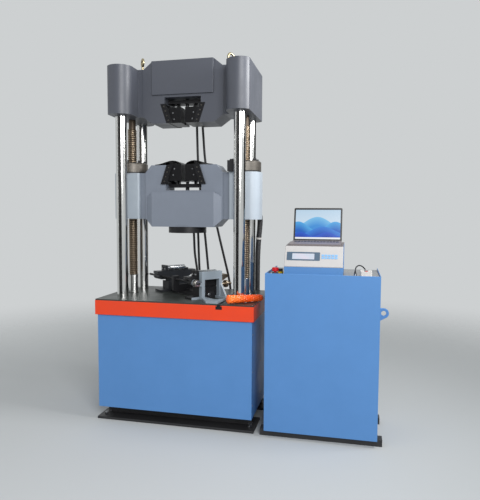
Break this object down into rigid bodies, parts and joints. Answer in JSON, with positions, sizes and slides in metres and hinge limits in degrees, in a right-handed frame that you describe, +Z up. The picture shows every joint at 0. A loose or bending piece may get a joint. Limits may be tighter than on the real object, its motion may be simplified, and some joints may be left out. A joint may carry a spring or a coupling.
{
  "type": "universal testing machine",
  "caption": "Floor-standing hydraulic universal testing machine with a four-column load frame, two wedge-grip crossheads on lead screws, a bend fixture and a separate control cabinet",
  "frame": {"origin": "on the floor under the loading axis, midway between the four columns", "axes": "+X to the control cabinet, +Y to the rear, +Z up"},
  "size_m": [1.7255, 0.69, 2.235],
  "materials": {
    "black": "satin",
    "cylinder_grey": "satin",
    "cabinet_blue": "satin",
    "table_orange": "satin",
    "crosshead_dark": "satin",
    "crosshead_mid": "satin",
    "housing_pale": "satin",
    "bare_steel": "satin",
    "polished_steel": "polished",
    "dark_steel": "satin",
    "warm_steel": "satin",
    "collar_grey": "satin",
    "seat_grey": "satin",
    "chrome_column": "polished",
    "white_plastic": "matte",
    "yellow_plastic": "matte",
    "red_plastic": "gloss",
    "black_plastic": "matte",
    "laptop_plastic": "matte",
    "screen_glass": "gloss",
    "black_rubber": "matte",
    "wrap_orange": "matte"
  },
  "bodies": {
    "base_frame": {"base_beams": "black", "bed_plate": "black", "main_cylinder": "cylinder_grey", "skirt_front": "cabinet_blue", "skirt_panels": "cabinet_blue", "drive_motor": "cylinder_grey", "drive_chain": "bare_steel", "hose_manifold": "cylinder_grey", "cabinet_shell": "cabinet_blue", "cabinet_rear_panel": "cabinet_blue", "cabinet_top": "bare_steel", "cabinet_feet": "black", "hydraulic_unit": "cylinder_grey", "controller_case": "cabinet_blue", "controller_fascia": "white_plastic", "display": "screen_glass", "laptop_base": "laptop_plastic", "control_bases": "yellow_plastic", "pendant_case": "white_plastic", "pendant_cable": "black_rubber", "hose_upper_left": "black_rubber", "hose_upper_right": "black_rubber", "hose_middle_left": "black_rubber", "hose_middle_right": "black_rubber", "conduit": "black_rubber"},
    "load_frame": {"ram": "polished_steel", "table_slab": "table_orange", "table_plate": "dark_steel", "columns": "chrome_column", "upper_crosshead": "crosshead_dark", "crosshead_covers": "crosshead_dark", "eye_bolts": "bare_steel", "upper_grip_guides": "dark_steel", "bend_rail": "dark_steel", "wrapped_mandrel": "wrap_orange"},
    "middle_crosshead": {"middle_crosshead": "crosshead_mid", "nut_housings": "housing_pale", "screw_nuts": "collar_grey", "junction_block": "black_plastic", "compression_platen": "dark_steel", "lower_grip_guides": "dark_steel"},
    "upper_carrier": {"upper_carrier": "dark_steel"},
    "upper_jaw_left": {"upper_jaw_left": "dark_steel"},
    "upper_jaw_right": {"upper_jaw_right": "dark_steel"},
    "lower_carrier": {"lower_carrier": "dark_steel"},
    "lower_jaw_left": {"lower_jaw_left": "dark_steel"},
    "lower_jaw_right": {"lower_jaw_right": "dark_steel"},
    "lead_screw_left": {"lead_screw_left": "warm_steel"},
    "lead_screw_right": {"lead_screw_right": "warm_steel"},
    "motor_sprocket": {"motor_sprocket": "bare_steel"},
    "bend_seat_rear": {"bend_seat_rear": "dark_steel"},
    "bend_seat_front": {"bend_seat_front": "seat_grey"},
    "bend_screw": {"bend_screw": "dark_steel"},
    "bend_roller_rear": {"bend_roller_rear": "polished_steel"},
    "bend_roller_front": {"bend_roller_front": "polished_steel"},
    "laptop_lid": {"laptop_lid": "black_plastic"},
    "estop_button": {"estop_button": "red_plastic"},
    "selector_knob": {"selector_knob": "black_plastic"},
    "pendant_rocker": {"pendant_rocker": "black_plastic"},
    "pendant_stop": {"pendant_stop": "red_plastic"}
  },
  "joints": [
    {"name": "load_slide", "type": "slide", "parent": "base_frame", "child": "load_frame", "axis": [0, 0, 1], "range_m": [0, 0.2], "deforming": ["hose_upper_left", "hose_upper_right"]},
    {"name": "crosshead_travel", "type": "slide", "parent": "base_frame", "child": "middle_crosshead", "axis": [0, 0, 1], "range_m": [-0.18, 0.15], "deforming": ["hose_middle_left", "hose_middle_right", "conduit"]},
    {"name": "screw_left_turn", "type": "hinge", "parent": "base_frame", "child": "lead_screw_left", "pos_m": [-0.3725, 0, 0.1], "axis": [0, 0, 1], "range_deg": [-5405, 4505]},
    {"name": "screw_right_turn", "type": "hinge", "parent": "base_frame", "child": "lead_screw_right", "pos_m": [0.3725, 0, 0.1], "axis": [0, 0, 1], "range_deg": [-5405, 4505]},
    {"name": "motor_turn", "type": "hinge", "parent": "base_frame", "child": "motor_sprocket", "pos_m": [0.222, -0.09, 0.1], "axis": [0, 0, 1], "range_deg": [-8315, 6930]},
    {"name": "upper_grip_slide", "type": "slide", "parent": "load_frame", "child": "upper_carrier", "axis": [0, 0, -1], "range_m": [0, 0.03]},
    {"name": "upper_jaw_left_slide", "type": "slide", "parent": "load_frame", "child": "upper_jaw_left", "axis": [0.3173, 0, -0.9483], "range_m": [0, 0.0317]},
    {"name": "upper_jaw_right_slide", "type": "slide", "parent": "load_frame", "child": "upper_jaw_right", "axis": [-0.3173, 0, -0.9483], "range_m": [0, 0.0317]},
    {"name": "lower_grip_slide", "type": "slide", "parent": "middle_crosshead", "child": "lower_carrier", "axis": [0, 0, 1], "range_m": [0, 0.03]},
    {"name": "lower_jaw_left_slide", "type": "slide", "parent": "middle_crosshead", "child": "lower_jaw_left", "axis": [0.3173, 0, 0.9483], "range_m": [0, 0.0317]},
    {"name": "lower_jaw_right_slide", "type": "slide", "parent": "middle_crosshead", "child": "lower_jaw_right", "axis": [-0.3173, 0, 0.9483], "range_m": [0, 0.0317]},
    {"name": "rear_seat_slide", "type": "slide", "parent": "load_frame", "child": "bend_seat_rear", "axis": [0.766, -0.6428, 0], "range_m": [-0.01, 0.12]},
    {"name": "front_seat_slide", "type": "slide", "parent": "load_frame", "child": "bend_seat_front", "axis": [0.766, -0.6428, 0], "range_m": [-0.12, 0.01]},
    {"name": "bend_screw_turn", "type": "hinge", "parent": "load_frame", "child": "bend_screw", "pos_m": [-0.06814, -0.0412, 0.849], "axis": [0.766, -0.6428, 0], "range_deg": [-901, 10801]},
    {"name": "rear_roller_turn", "type": "hinge", "parent": "bend_seat_rear", "child": "bend_roller_rear", "pos_m": [-0.14555, 0.16213, 0.899], "axis": [0.6428, 0.766, 0], "continuous": true},
    {"name": "front_roller_turn", "type": "hinge", "parent": "bend_seat_front", "child": "bend_roller_front", "pos_m": [0.14555, -0.08213, 0.899], "axis": [0.6428, 0.766, 0], "continuous": true},
    {"name": "laptop_lid_hinge", "type": "hinge", "parent": "base_frame", "child": "laptop_lid", "pos_m": [0.818, -0.01469, 1.10368], "axis": [1, 0, 0], "range_deg": [-17, 106]},
    {"name": "estop_push", "type": "slide", "parent": "base_frame", "child": "estop_button", "axis": [0, 0, -1], "range_m": [0, 0.006], "stiffness_N_per_m": 1500, "springref_m": -0.002},
    {"name": "selector_turn", "type": "hinge", "parent": "base_frame", "child": "selector_knob", "pos_m": [0.6205, -0.164, 0.935], "axis": [0, 0, 1], "range_deg": [-45, 45]},
    {"name": "rocker_tilt", "type": "hinge", "parent": "base_frame", "child": "pendant_rocker", "pos_m": [1.1015, -0.196, 0.9485], "axis": [1, 0, 0], "range_deg": [-6, 6], "stiffness_Nm_per_rad": 0.3},
    {"name": "pendant_stop_push", "type": "slide", "parent": "base_frame", "child": "pendant_stop", "axis": [0, 0, -1], "range_m": [0, 0.002], "stiffness_N_per_m": 800, "springref_m": -0.001}
  ],
  "couplings": [
    {"joint": "screw_left_turn", "follows": "crosshead_travel", "rad_per_m": 523.6},
    {"joint": "screw_right_turn", "follows": "crosshead_travel", "rad_per_m": 523.6},
    {"joint": "motor_turn", "follows": "crosshead_travel", "rad_per_m": 805.54},
    {"joint": "upper_jaw_left_slide", "follows": "upper_grip_slide", "ratio": 1.0545},
    {"joint": "upper_jaw_right_slide", "follows": "upper_grip_slide", "ratio": 1.0545},
    {"joint": "lower_jaw_left_slide", "follows": "lower_grip_slide", "ratio": 1.0545},
    {"joint": "lower_jaw_right_slide", "follows": "lower_grip_slide", "ratio": 1.0545},
    {"joint": "front_seat_slide", "follows": "rear_seat_slide", "ratio": -1},
    {"joint": "bend_screw_turn", "follows": "rear_seat_slide", "rad_per_m": 1570.8}
  ]
}
